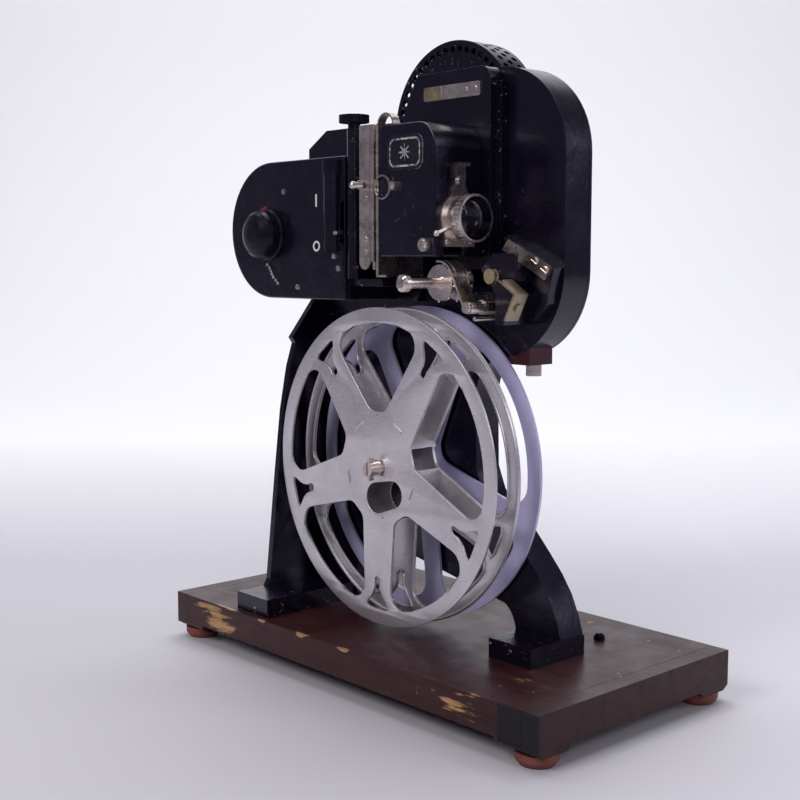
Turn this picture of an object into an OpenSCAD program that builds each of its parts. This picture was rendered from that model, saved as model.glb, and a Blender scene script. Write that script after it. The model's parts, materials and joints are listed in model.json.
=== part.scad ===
// Small home cine film projector on a wooden board, with film reels on its take-up spindle.
// Millimetres. +Z is up, +X is the way the lens points, +Y is away from the reels.
// The origin is on the floor under the middle of the board.

/* [Board] */
// Length of the wooden board
board_l = 304; // [260:1:360]
// Width of the wooden board
board_w = 153; // [120:1:200]
// Height of the board's top above the floor
board_top = 28; // [22:1:36]
// Thickness of the board between its end battens
board_t = 17; // [12:1:20]
// Diameter of a rubber foot
foot_d = 21.5; // [16:0.5:28]

/* [Stand] */
// Left side of the stand, which is also the left side of the casing
stand_left = -94; // [-100:1:-90]
// Right side of the right foot pad
stand_right = 104; // [98:1:112]
// Thickness of the cast walls
cast_wall = 4; // [3:0.5:6]
// Height of a foot pad
pad_h = 10.5; // [8:0.5:14]

/* [Reels] */
// Radius of a reel flange
reel_r = 89; // [70:1:89]
// Height of the take-up spindle
spindle_z = 121.5; // [120:0.5:124]
// Outside width of the front reel
reel_w = 19; // [18:0.5:20]

/* [Film path] */
// Middle of the film, across its width
film_y = -31.5; // [-33:0.5:-30]
// Height of the light beam
beam_z = 257.5; // [255:0.5:260]
// Radius of the toothed film sprocket
sprocket_r = 9.4; // [9:0.1:10]

/* [Motions] */
// How far the lens slides out to focus
focus_travel = 4; // [1:0.5:5]
// How far the gate's pressure plate draws back
gate_travel = 2.5; // [1:0.5:3]

/* [Hidden] */

$fn = 48;
fit = 0.05;
reel_x = 1.5;
front_y = -4;
back_y = 14;
cover_t = 3;
housing_y = -14;
head_front = -48;
head_left = 10;
head_right = 53;
head_bottom = 238;
head_top = 307;
lamp_front = -50;
lamp_x = -85.5;
lamp_z = 253.5;
lamp_r = 39.5;
lamp_right = -17;
case_left = -14;
case_right = 102;
case_bottom = 184;
case_top = 337;
case_corner = 46;
hood_bottom = 213;
hood_top = 313;
shutter_x = 25;
drum_x = -1;
shaft_gap = 60;
drum_z = beam_z + sqrt(shaft_gap * shaft_gap - (shutter_x - drum_x) * (shutter_x - drum_x));
drum_r = 48.2;
drum_y = back_y + cover_t;
drum_w = 21;
sprocket_x = 47.5;
sprocket_z = 224.4;
film_w = 16;
reel_front = -41;
reel_back = reel_front + reel_w;
disc_y = -7.3;
disc_t = 1.6;
shoe_x = 69;
shoe_z = 212;
pulley_y = 4.3;
pulley_w = 3;
small_pulley_r = 6;
big_pulley_r = 14.4;
belt_d = 2.4;
shaft_r = 3;
barrel_r = 10.3;

// ---------- shared shapes ----------

// Cylinder along +Y from the point p.
module ycyl(p, r, len, r2 = -1) {
  translate(p) rotate([-90, 0, 0]) cylinder(r1 = r, r2 = r2 < 0 ? r : r2, h = len);
}

// Cylinder along +X from the point p.
module xcyl(p, r, len, r2 = -1) {
  translate(p) rotate([0, 90, 0]) cylinder(r1 = r, r2 = r2 < 0 ? r : r2, h = len);
}

// Upright cylinder from the point p.
module zcyl(p, r, len, r2 = -1) {
  translate(p) cylinder(r1 = r, r2 = r2 < 0 ? r : r2, h = len);
}

// Box between two corners.
module span(a, b) {
  translate(a) cube(b - a);
}

// Extrudes an outline drawn in X and Z from y0 to y1.
module plate(y0, y1) {
  translate([0, y1, 0]) rotate([90, 0, 0]) linear_extrude(y1 - y0) children();
}

// Extrudes an outline drawn in Y and Z from x0 to x1.
module side_plate(x0, x1) {
  translate([x0, 0, 0]) rotate([90, 0, 90]) linear_extrude(x1 - x0) children();
}

// Points of an arc round c, from angle a0 to a1.
function arc(c, r, a0, a1, n = 12) =
  [for (i = [0:n]) let (a = a0 + (a1 - a0) * i / n) c + r * [cos(a), sin(a)]];

// Rectangle from a to b with its corners rounded by r.
module soft_rect(a, b, r) {
  polygon(concat(
    arc([b.x - r, b.y - r], r, 0, 90), arc([a.x + r, b.y - r], r, 90, 180),
    arc([a.x + r, a.y + r], r, 180, 270), arc([b.x - r, a.y + r], r, 270, 360)));
}

// Slotted cheese-head screw pointing along +Y, its head in front of p.
module yscrew(p, r, head, len) {
  difference() {
    union() {
      ycyl(p - [0, head, 0], r, head);
      ycyl(p - [0, 0.01, 0], r * 0.5, len + 0.01);
    }
    translate(p - [0, head, 0]) rotate([0, 35, 0]) cube([2 * r + 1, r * 0.7, r * 0.28], center = true);
  }
}

// Gear outline with n teeth of module m, its middle on the origin.
module gear_2d(n, m, bore) {
  tip = n * m / 2 + m * 0.85;
  root = n * m / 2 - m * 1.1;
  step = 360 / n;
  difference() {
    polygon([for (i = [0:n - 1], k = [0:3])
      let (a = i * step + step * [0, 0.32, 0.42, 0.9][k] - step * 0.16, r = [tip, tip, root, root][k])
      r * [cos(a), sin(a)]]);
    circle(bore);
  }
}

// ---------- board ----------

batten_w = 28;
batten_cap = 10.5;
foot_h = 6.4;
foot_x = board_l / 2 - foot_d / 2;
foot_y = board_w / 2 - foot_d / 2 - 1.2;
board_bottom = board_top - board_t;
pad_left = [stand_left, stand_left + 30];
pad_right = [stand_right - 30, stand_right];
pad_front_left = -71;
pad_front_right = -28;
plug_at = [93, 40];

function bolt_points() = [
  [stand_left + 18, -58], [stand_left + 18, 2], [stand_right - 15, -18], [stand_right - 15, 6]];

module base_board() {
  color("#3b1c16") difference() {
    span([-board_l / 2 + batten_cap, -board_w / 2, board_bottom],
         [board_l / 2 - batten_cap, board_w / 2, board_top]);
    for (p = bolt_points()) {
      zcyl([p.x, p.y, board_bottom - 1], 2.7, board_t + 2);
      zcyl([p.x, p.y, board_bottom - 1], 6, 6);
    }
    zcyl([plug_at.x, plug_at.y, board_top - 8], 2, 9);
    for (s = [-1, 1], t = [-1, 0, 1])
      zcyl([s * (board_l / 2 - 20), t * 50, board_bottom - 1], 1.6, 11);
    for (s = [-1, 1], t = [-1, 1])
      zcyl([s * foot_x, t * foot_y, board_bottom - 1], 1.6, 8);
  }
}

// End batten: a cap over the board's end and a rail under it, cut away between the feet.
module one_batten() {
  end = board_l / 2;
  difference() {
    union() {
      span([end - batten_cap, -board_w / 2, board_bottom - 0.01], [end, board_w / 2, board_top]);
      side_plate(end - batten_w, end) polygon([
        [-board_w / 2, board_bottom], [-board_w / 2, foot_h + 2.5], [-board_w / 2 + 4, foot_h],
        [-55, foot_h], [-51, foot_h + 3], [51, foot_h + 3], [55, foot_h],
        [board_w / 2 - 4, foot_h], [board_w / 2, foot_h + 2.5], [board_w / 2, board_bottom]]);
    }
    for (t = [-1, 0, 1]) zcyl([end - 20, t * 50, 0], 3.4, 9.5 + 0.4);
    for (t = [-1, 0, 1]) zcyl([end - 20, t * 50, 0], 1.7, 14);
    for (t = [-1, 1]) zcyl([foot_x, t * foot_y, 0], 1.6, 18);
  }
}

module end_battens() {
  color("#2a1614") for (s = [0, 1]) mirror([s, 0, 0]) one_batten();
}

module batten_screws() {
  color("#8d8678") for (s = [-1, 1], t = [-1, 0, 1]) translate([s * (board_l / 2 - 20), t * 50, 0]) {
    zcyl([0, 0, 9.9], 1.5, 9);
    zcyl([0, 0, 8.6], 3.2, 1.3);
  }
}

module rubber_feet() {
  color("#9c3320") for (s = [-1, 1], t = [-1, 1]) translate([s * foot_x, t * foot_y, 0]) difference() {
    union() {
      zcyl([0, 0, 0], foot_d * 0.40, 2.2, foot_d * 0.48);
      zcyl([0, 0, 2.2], foot_d * 0.48, 1.2, foot_d * 0.5);
      zcyl([0, 0, 3.4], foot_d * 0.5, foot_h - 3.4);
    }
    zcyl([0, 0, -1], 3.6, 3.5);
    zcyl([0, 0, 0], 1.6, 8);
  }
}

module foot_screws() {
  color("#8d8678") for (s = [-1, 1], t = [-1, 1]) translate([s * foot_x, t * foot_y, 0]) {
    zcyl([0, 0, 1.1], 3.2, 1.4);
    zcyl([0, 0, 2.4], 1.5, 13);
  }
}

module board_plug() {
  color("#111116") translate([plug_at.x, plug_at.y, board_top]) {
    zcyl([0, 0, -8], 1.95, 8.2);
    zcyl([0, 0, 0], 3.1, 2.2);
    zcyl([0, 0, 2.2], 3.1, 1.6, 1.7);
  }
}

// ---------- stand ----------

neck_right = 40;
arch_left = -62;
arch_right = 71;
arch_top = 70;
leg_edge = [[neck_right, 146], [neck_right + 0.5, 122], [46, 109], [58, 97.5], [68, 90], [79, 78.5],
  [88, 68.5], [95, 58.5], [100, 47.5], [stand_right - 1, 38], [stand_right, board_top + pad_h]];

module arch_opening() {
  polygon(concat(
    [[arch_left, board_top - 1]],
    arc([arch_left + 24, arch_top - 24], 24, 180, 96, 8),
    arc([arch_right - 17, arch_top - 34], 17, 58, 0, 8),
    [[arch_right, board_top - 1]]));
}

module stand_outline() {
  difference() {
    polygon(concat(
      [[stand_left, board_top], [stand_left, hood_bottom], [case_left, hood_bottom],
       [case_left, case_bottom]],
      arc([neck_right + 21, 163], 21, 90, 180, 8),
      leg_edge,
      [[stand_right, board_top]]));
    arch_opening();
  }
}

// The stand's left wall, seen from the side.
module left_wall_outline() {
  polygon([[front_y + 2, board_top + pad_h - 2], [-53, board_top + pad_h - 2], [-49.5, 43],
    [-46, 74], [-42.5, 108], [-38, 146], [-33, 172], [-28.5, 186], [-31, 189.5],
    [-12.5, hood_bottom], [front_y + 2, hood_bottom]]);
}

module stand() {
  color("#15151d") difference() {
    union() {
      difference() {
        plate(front_y, back_y) stand_outline();
        plate(front_y + cast_wall + 1, back_y + 1) offset(delta = -cast_wall) stand_outline();
      }
      side_plate(stand_left, stand_left + cast_wall) left_wall_outline();
      span([pad_left[0], pad_front_left, board_top], [pad_left[1], back_y, board_top + pad_h]);
      span([pad_right[0], pad_front_right, board_top], [pad_right[1], back_y, board_top + pad_h]);
      ycyl([reel_x, front_y, spindle_z], 13, 7);
    }
    ycyl([reel_x, front_y - 1, spindle_z], 5 + fit, 30);
    for (p = bolt_points()) zcyl([p.x, p.y, board_top - 1], 2.5, pad_h - 1);
    span([10, pulley_y - 0.9, case_bottom - cast_wall - 1], [48, pulley_y + pulley_w + 0.9, case_bottom + 1]);
  }
}

module stand_bolts() {
  color("#7e7c78") for (p = bolt_points()) translate([p.x, p.y, 0]) {
    zcyl([0, 0, board_bottom + 1.6], 4.6, 3.4);
    zcyl([0, 0, board_bottom + 4.9], 2.45, board_t - 4.9 + 7);
  }
}

// ---------- casing ----------

module case_outline() {
  polygon(concat(
    [[case_left, case_bottom], [case_right - case_corner, case_bottom]],
    arc([case_right - case_corner, case_bottom + case_corner], case_corner, -90, 0, 16),
    arc([case_right - case_corner, case_top - case_corner], case_corner, 0, 90, 16),
    [[3, case_top], [case_left + 4, hood_top], [-77, hood_top], [stand_left, 303],
     [stand_left, hood_bottom], [case_left, hood_bottom]]));
}

// Places on the case's front where a screw head shows.
function case_screw_points() = [[73.5, 272], [69, 255.7], [60, 192], [-6, 192]];
function cover_screw_points() = [
  [95, 240], [95, 285], [60, 330], [78, 197], [-8, 190], [-88, 220], [-88, 298], [-62, 306]];

module gear_case() {
  color("#15151d") difference() {
    union() {
      difference() {
        plate(front_y, back_y) case_outline();
        plate(front_y + cast_wall, back_y + 1) offset(delta = -cast_wall) case_outline();
        ycyl([drum_x, front_y + cast_wall, drum_z], 6.6, 20);
        ycyl([shutter_x, front_y + cast_wall + 7.5, beam_z], 56.5, 20);
      }
      for (p = cover_screw_points()) ycyl([p.x, front_y + 1, p.y], 3.5, back_y - front_y - 1);
      ycyl([sprocket_x, -22, sprocket_z], 7, 22 + front_y + 1);
      ycyl([shutter_x, -14, beam_z], 7, 14 + front_y + 1);
    }
    for (p = cover_screw_points()) ycyl([p.x, back_y - 8, p.y], 1.35, 9);
    for (p = case_screw_points()) ycyl([p.x, front_y - 1, p.y], 0.85, 4);
    ycyl([sprocket_x, -23, sprocket_z], shaft_r + fit, 30);
    ycyl([shutter_x, -15, beam_z], 2.5 + fit, 30);
    span([10, pulley_y - 0.9, case_bottom - 1], [48, pulley_y + pulley_w + 0.9, case_bottom + cast_wall + 1]);
  }
}

module case_cover() {
  color("#17171f") difference() {
    plate(back_y, back_y + cover_t) case_outline();
    for (p = cover_screw_points()) ycyl([p.x, back_y - 1, p.y], 1.8, cover_t + 2);
    ycyl([drum_x, back_y - 1, drum_z], 10, cover_t + 2);
  }
}

module case_screws() {
  color("#1c1c24") {
    for (p = case_screw_points()) yscrew([p.x, front_y, p.y], 1.6, 0.7, 2.6);
    for (p = cover_screw_points()) translate([p.x, back_y + cover_t, p.y]) rotate([0, 0, 180])
      yscrew([0, 0, 0], 2.6, 1.2, 9);
  }
}

module front_outline() {
  polygon(concat(
    [[stand_left, hood_bottom], [stand_left, 303], [-77, hood_top], [case_left + 4, hood_top],
     [3, case_top]],
    arc([52, case_top - 7], 7, 90, 0, 6),
    [[59, head_bottom], [head_left, head_bottom], [head_left, 222], [-2, hood_bottom]]));
}

// Raised casing behind the lamp house and over the head, with the shelf under the gate.
module front_housing() {
  color("#15151d") {
    difference() {
      plate(housing_y, front_y) front_outline();
      plate(housing_y + 3, front_y + 1) offset(delta = -3) front_outline();
      ycyl([shutter_x, housing_y - 1, beam_z], 7.3, 5);
    }
    span([58.5, -9, head_bottom], [62, front_y, case_top - 8]);
    span([-17, -46, 222], [head_left, housing_y + 1, 226]);
  }
}

module head_outline() {
  polygon(concat(
    [[head_left, head_bottom], [head_right, head_bottom]],
    arc([head_right - 13, head_top - 13], 13, 0, 90, 8),
    [[head_left, head_top]]));
}

claw_slot = 13;
thumb_at = [47, 244];
ring_screw_x = 22.7;

// Box of the picture head, notched underneath where the film shoe swings up.
module head_housing() {
  color("#14141c") {
    difference() {
      plate(head_front, housing_y) head_outline();
      plate(head_front + 2.5, housing_y + 1) offset(delta = -2.5) head_outline();
      xcyl([head_left - 1, film_y, beam_z], 7.5, 5);
      xcyl([head_right - 4, film_y, beam_z], barrel_r + 0.5, 6);
      span([head_left - 1, -26, beam_z - claw_slot / 2], [head_left + 4, -23, beam_z + claw_slot / 2]);
      ycyl([thumb_at.x, head_front - 1, thumb_at.y], 1.5 + fit, 5);
      xcyl([head_right - 3, film_y, 277], 1.25, 4);
      for (s = [-1, 1]) xcyl([head_right - 3, film_y + s * 8.6, 245.6], 0.8, 4);
      ycyl([ring_screw_x, head_front - 1, 275], 1.25, 5);
      span([36, shoe_y[0] - 0.8, head_bottom - 1], [head_right + 1, shoe_y[1] + 0.8, 243]);
    }
    zcyl([guide_x, -24.5, head_bottom + 2], 1.4, head_top - head_bottom - 4);
  }
}

module badge_plate() {
  color("#1a1a22") difference() {
    plate(head_front - 0.8, head_front) soft_rect([17, 283], [44, 301], 5);
    plate(head_front - 1, head_front - 0.5) difference() {
      soft_rect([18.5, 284.5], [42.5, 299.5], 4);
      soft_rect([19.6, 285.6], [41.4, 298.4], 3.2);
    }
    plate(head_front - 1, head_front - 0.5) for (k = [0:3])
      translate([30.5, 292]) rotate(k * 45) square([9, 0.9], center = true);
  }
}

// ---------- lamp house ----------

module lamp_outline(inset = 0) {
  r = lamp_r - inset;
  polygon(concat(
    [[lamp_right - inset, lamp_z - r], [lamp_right - inset, lamp_z + r]],
    arc([lamp_x, lamp_z], r, 90, 270, 32)));
}

// Shell closed at the back, with cooling slots above and below the lamp.
module lamp_house() {
  color("#15151d") difference() {
    plate(lamp_front + 3, housing_y) lamp_outline();
    plate(lamp_front + 2, housing_y - 2.5) lamp_outline(2.5);
    xcyl([lamp_right - 4, film_y, beam_z], 11 + fit, 6);
    for (i = [0:5], z = [lamp_z - lamp_r - 1, lamp_z + lamp_r - 3])
      span([-84 + i * 6, -42, z], [-81 + i * 6, -22, z + 4]);
    span([switch_x - 4, lamp_front + 2, 242.5], [switch_x + 2.2, lamp_front + 5.2, 270.5]);
  }
}

function cover_points() = [[-71.5, 275.5], [-59, 220.8], [-25.8, 238.3], [-22, 231.5]];

module lamp_house_cover() {
  color("#17171f") difference() {
    union() {
      plate(lamp_front, lamp_front + 3) lamp_outline();
      for (p = cover_points()) ycyl([p.x, lamp_front + 3, p.y], 2, 4.5);
    }
    ycyl([knob_x, lamp_front - 1, knob_z], 5.2, 6);
    for (p = cover_points()) ycyl([p.x, lamp_front - 1, p.y], 0.85, 8);
    span([switch_x - 1.7, lamp_front - 1, 245.2], [switch_x + 1.7, lamp_front + 4, 267.8]);
  }
}

module cover_screws() {
  color("#8f8c86") for (p = cover_points()) yscrew([p.x, lamp_front, p.y], 1.6, 0.9, 6);
}

lamp_axis = -68;

// The projection lamp: glass bulb, brass cap and coiled filament.
module lamp_bulb() {
  color("#dfe6ea") {
    difference() {
      union() {
        zcyl([lamp_axis, film_y, 240], 10, 36);
        translate([lamp_axis, film_y, 276]) difference() {
          sphere(10);
          translate([-11, -11, -22]) cube(22);
        }
      }
      zcyl([lamp_axis, film_y, 239], 9.2, 37);
    }
  }
  color("#b08a3c") zcyl([lamp_axis, film_y, 229], 7, 10.9);
  color("#777777") for (k = [-2:2])
    zcyl([lamp_axis + 0.2, film_y + k * 1.6, 239.9], 0.5, 21);
}

module lamp_socket() {
  color("#4a3628") difference() {
    union() {
      zcyl([lamp_axis, film_y, 220], 9.5, 15);
      span([lamp_axis - 12, film_y - 10.5, 216.5], [lamp_axis + 12, film_y + 15, 220.01]);
    }
    zcyl([lamp_axis, film_y, 228.9], 7 + 0.1, 8);
  }
}

module reflector() {
  color("#c9ced4") difference() {
    union() {
      xcyl([-96, film_y, beam_z], 13, 3);
      xcyl([-93.1, film_y, beam_z], 13, 3.1, 15);
    }
    translate([-72, film_y, beam_z]) sphere(22.4);
  }
  color("#8a8a8a") span([-98, film_y - 2, 219], [-96, film_y + 2, 262]);
}

// Condenser tube through the lamp house wall, with a lens at each end.
module condenser() {
  color("#2a2a30") difference() {
    xcyl([-27, film_y, beam_z], 11, 26.5);
    xcyl([-28, film_y, beam_z], 9.5, 28.5);
  }
  color("#bfd4dd") for (x = [-24, -7]) xcyl([x, film_y, beam_z], 9.5, 4);
}

knob_z = 251;
knob_r = 14;
knob_x = lamp_x - 1;

// Domed cap on the lamp house front: it turns the lamp to centre its filament.
module lamp_knob() {
  color("#16161c") translate([knob_x, lamp_front - 0.3, knob_z]) rotate([90, 0, 0]) rotate_extrude()
    polygon([[0, 0], [knob_r + 0.8, 0], [knob_r + 0.8, 1.2], [knob_r, 2], [knob_r, 7], [knob_r - 0.8, 9.2],
      [knob_r - 2.6, 11], [knob_r - 5.5, 12.2], [knob_r - 9, 12.8], [0, 13]]);
  color("#16161c") ycyl([knob_x, lamp_front - 0.4, knob_z], 5.1, 3.6);
}

column_x = -27.2;
switch_x = -20.2;
switch_z = 251;

// Half-round column on the cover, with a knurled head.
module switch_column() {
  color("#1f1d30") difference() {
    union() {
      zcyl([column_x, lamp_front, 241], 5.2, 42);
      zcyl([column_x, lamp_front, 283], 5.7, 8);
    }
    for (a = [180:15:360]) translate([column_x, lamp_front, 0]) rotate(a) zcyl([6, 0, 283.8], 0.6, 9);
    span([column_x - 7, lamp_front, 240], [column_x + 7, lamp_front + 7, 295]);
  }
}

// The lamp's on-off switch: a pin sliding in an upright slot beside the column.
module switch_grip() {
  color("#c9c4b8") {
    ycyl([switch_x, lamp_front - 4, switch_z], 1.3, 8);
    ycyl([switch_x, lamp_front - 4.8, switch_z], 1, 0.81, 1.3);
    span([switch_x - 3.2, lamp_front + 3.3, switch_z - 3], [switch_x + 1.5, lamp_front + 4.6, switch_z + 3]);
  }
}

// Plain marks beside the switch: a bar for on, a ring for off.
module index_marks() {
  color("#d9d9d4") {
    span([-42.2, lamp_front - 0.3, 266], [-41, lamp_front, 273]);
    difference() {
      ycyl([-41.6, lamp_front - 0.3, 244], 3, 0.3);
      ycyl([-41.6, lamp_front - 1, 244], 2, 2);
    }
  }
}

// ---------- gate ----------

// Aperture plate: the film runs down its left face behind the pressure plate.
module gate_plate() {
  color("#c2bdb2") difference() {
    union() {
      span([head_left - 2, head_front - 0.8, 227], [head_left, -16, 308]);
      span([head_left - 2, head_front - 0.8, 227], [head_left + 6, head_front + 0.6, 228.2]);
      difference() {
        ycyl([head_left + 5.5, head_front - 0.8, 307], 6.5, 5);
        ycyl([head_left + 5.5, head_front - 1, 307], 5.5, 6);
        span([0, head_front - 2, 290], [30, head_front + 6, 307.2]);
      }
    }
    span([head_left - 3, film_y - 5.1, beam_z - 3.75], [head_left + 1, film_y + 5.1, beam_z + 3.75]);
    span([head_left - 3, -26, beam_z - claw_slot / 2], [head_left + 1, -23, beam_z + claw_slot / 2]);
  }
}

door_x = -4.3;
door_right = 7.2;
rivet_x = 0.2;
pull_z = 276.2;
pull_y = head_front - 6.3;

// Pressure plate with its front strip and pull knob; it draws left to free the film.
module gate_door() {
  color("#b7b2a6") {
    difference() {
      span([5.2, head_front - 0.6, 231], [door_right, -18, 300]);
      span([4, film_y - 6, beam_z - 5], [9, film_y + 5, beam_z + 5]);
      span([4, -26, beam_z - claw_slot / 2], [9, -23, beam_z + claw_slot / 2]);
    }
    difference() {
      union() {
        span([door_x, head_front - 2, 235.3], [door_right, head_front - 0.5, 308]);
        ycyl([(door_x + 4.2) / 2, head_front - 2, 235.3], (4.2 - door_x) / 2, 1.5);
      }
      span([4.2, head_front - 3, 230], [4.9, head_front - 1.4, 309]);
      for (z = [240.4, 247.4, 269.7]) ycyl([rivet_x, head_front - 3, z], 1.1, 4);
    }
    for (z = [240.4, 247.4, 269.7]) ycyl([rivet_x, head_front - 2.7, z], 1.6, 0.8);
    span([0.5, pull_y - 1.2, pull_z - 2.3], [4, head_front - 1.9, pull_z + 2.3]);
    xcyl([-4.1, pull_y, pull_z], 1.8, 9.6);
    translate([-4.1, pull_y, pull_z]) rotate([0, 90, 0]) sphere(2.3);
  }
}

// Sprung wire ring and its eyelet screw on the front of the head.
module gate_screws() {
  color("#c8c2b4") {
    difference() {
      ycyl([14.2, head_front - 2.2, 274.6], 6.5, 1.2);
      ycyl([14.2, head_front - 3, 274.6], 5.7, 3);
    }
    difference() {
      ycyl([ring_screw_x, head_front - 2.6, 275], 2.4, 2.6);
      ycyl([ring_screw_x, head_front - 3, 275], 1.3, 1.6);
    }
    ycyl([ring_screw_x, head_front - 0.1, 275], 1.2, 3);
  }
}

post_at = [-12.6, -46.5];

module framing_post() {
  color("#1b1b28") difference() {
    zcyl([post_at.x, post_at.y, 226], 3.9, 81.2);
    zcyl([post_at.x, post_at.y, 225], 2.2 + fit, 84);
  }
}

module framing_knob() {
  color("#1a1a20") difference() {
    union() {
      zcyl([post_at.x, post_at.y, 228], 2.2, 83);
      zcyl([post_at.x, post_at.y, 307.5], 3.4, 3);
      zcyl([post_at.x, post_at.y, 310.3], 8.3, 4.2);
    }
    for (a = [0:15:345]) translate([post_at.x, post_at.y, 0]) rotate(a) zcyl([8.7, 0, 309], 0.8, 7);
  }
}

// ---------- lens ----------

// Strap on the head's right side with the sleeve that the lens slides in.
module lens_bracket() {
  color("#cfc8ba") difference() {
    union() {
      span([head_right, film_y - 4, beam_z], [head_right + 1.6, film_y + 4, 286]);
      span([head_right, film_y - 4, 284.4], [head_right + 5, film_y + 4, 286]);
      xcyl([head_right, film_y, beam_z], 13.5, 1.6);
      span([head_right, film_y - 11, 243], [head_right + 1.6, film_y + 11, beam_z]);
      side_plate(head_right, head_right + 1.6) translate([film_y, 0])
        polygon([[-4, 280], [4, 280], [4, 274], [5.2, 271.5], [9, 267], [-9, 267], [-5.2, 271.5], [-4, 274]]);
      xcyl([head_right, film_y, beam_z], 11.6, 5.5);
    }
    xcyl([head_right - 1, film_y, beam_z], barrel_r + fit, 8);
    xcyl([head_right - 1, film_y, 277], 1.3, 4);
    for (s = [-1, 1]) xcyl([head_right - 1, film_y + s * 8.6, 245.6], 0.9, 4);
  }
}

focus_x = 60.2;
focus_turn = 199.9;
bore_r = barrel_r - 1.1;

// Sliding lens barrel with a knurled front ring and a pin to push it by.
module lens_barrel() {
  color("#c6bfb1") difference() {
    union() {
      xcyl([43, film_y, beam_z], barrel_r, 19.2);
      xcyl([61.4, film_y, beam_z], 12.35, 5.1);
    }
    xcyl([42, film_y, beam_z], bore_r, 25);
    xcyl([62.8, film_y, beam_z], 11.2, 4);
    for (a = [0:12:348]) translate([0, film_y, beam_z]) rotate([a, 0, 0]) xcyl([61.5, 12.7, 0], 0.6, 4);
  }
  color("#c6bfb1") translate([focus_x, film_y, beam_z]) rotate([focus_turn, 0, 0]) {
    ycyl([0, barrel_r - 1, 0], 1.1, 14);
    translate([0, 23.6, 0]) rotate([90, 0, 0]) sphere(1.6);
  }
}

// Biconvex lens from x to x + 4.4, with faces of radius curve.
module lens_element(x, curve) {
  rim = bore_r - fit;
  swing = asin(rim / curve);
  translate([x, film_y, beam_z]) rotate([0, 90, 0]) rotate_extrude() polygon(concat(
    [[0, 0]],
    [for (i = [1:8]) let (a = swing * i / 8) [curve * sin(a), curve * (1 - cos(a))]],
    [for (i = [8:-1:1]) let (a = swing * i / 8) [curve * sin(a), 4.4 - curve * (1 - cos(a))]],
    [[0, 4.4]]));
}

module lens_glass() {
  color("#a8c8d8") for (x = [44.5, 57.2]) lens_element(x, 24);
}

module lens_screws() {
  color("#d8d2c4") {
    translate([head_right + 1.6, film_y, 277]) rotate([0, 0, 90]) yscrew([0, 0, 0], 2.4, 1.4, 5);
    for (s = [-1, 1]) translate([head_right + 1.6, film_y + s * 8.6, 245.6]) rotate([0, 0, 90])
      yscrew([0, 0, 0], 1.5, 0.7, 5);
  }
}

// Flat spring catch on the upper front of the casing.
module latch_spring() {
  color("#b9b4a6") {
    plate(housing_y - 0.9, housing_y) soft_rect([9.5, 322], [52, 329.5], 1.2);
    for (x = [41, 48]) ycyl([x, housing_y - 1.5, 325.7], 1.5, 0.7);
    plate(housing_y - 1.3, housing_y - 0.8) soft_rect([9.5, 322.4], [23, 329.1], 0.8);
  }
}

// ---------- motor ----------

// Perforated round housing behind the case, for the motor and its fan.
module drum_housing() {
  color("#181820") difference() {
    union() {
      difference() {
        ycyl([drum_x, drum_y, drum_z], drum_r, drum_w);
        ycyl([drum_x, drum_y + 1.6, drum_z], drum_r - 1.6, drum_w - 3.2);
      }
      ycyl([drum_x, drum_y, drum_z], 6, 7);
    }
    ycyl([drum_x, drum_y - 1, drum_z], 2 + fit, 20);
    ycyl([drum_x, drum_y + drum_w - 3, drum_z], 27.5, 6);
    for (a = [0:7.5:359]) translate([drum_x, 0, drum_z]) rotate([0, a, 0])
      translate([43.4, drum_y - 1, 0]) rotate([-90, 0, 0]) cylinder(r = 1.9, h = 4, $fn = 12);
    for (row = [0:2], a = [0:8:359])
      translate([drum_x, drum_y + 5 + 5.5 * row, drum_z]) rotate([0, a + 4 * row, 0])
        translate([drum_r - 3, 0, 0]) rotate([0, 90, 0]) cylinder(r = 1.9, h = 5, $fn = 12);
  }
}

motor_back = drum_y + drum_w + 24;

module motor_body() {
  color("#1a1a22") difference() {
    union() {
      ycyl([drum_x, drum_y + drum_w, drum_z], 30, motor_back - drum_y - drum_w - 3);
      ycyl([drum_x, motor_back - 3, drum_z], 30, 3, 27);
      ycyl([drum_x, motor_back - 3, drum_z], 8, 7);
      ycyl([drum_x, drum_y + drum_w, drum_z], 35, 2.5);
    }
    ycyl([drum_x, drum_y + drum_w - 1, drum_z], 27.5, motor_back - drum_y - drum_w - 1.5);
    ycyl([drum_x, drum_y + drum_w, drum_z], 2 + fit, 27);
    for (a = [0:30:330]) translate([drum_x, motor_back - 4, drum_z]) rotate([0, a, 0])
      translate([15, 0, -1.5]) cube([8, 6, 3]);
  }
}

fan_r = 42;
pinion_teeth = 10;
wheel_teeth = 110;
wheel_y = 8.6;
motor_turn = atan2(drum_z - beam_z, drum_x - shutter_x);

// Motor shaft with its pinion, cooling fan and armature.
module motor_rotor() {
  color("#8c8c90") {
    ycyl([drum_x, wheel_y - 0.4, drum_z], 2, motor_back + 2.5 - wheel_y);
    translate([drum_x, 0, drum_z]) plate(wheel_y, wheel_y + 4)
      rotate(motor_turn + 180) gear_2d(pinion_teeth, 1, 1.9);
    ycyl([drum_x, 44, drum_z], 22, 12);
  }
  color("#b8b8bc") {
    ycyl([drum_x, drum_y + 8, drum_z], 10, 9);
    for (a = [0:36:324]) translate([drum_x, drum_y + 8.5, drum_z]) rotate([0, a, 0])
      span([9, 0, -0.6], [fan_r, 8, 0.6]);
  }
}

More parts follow.
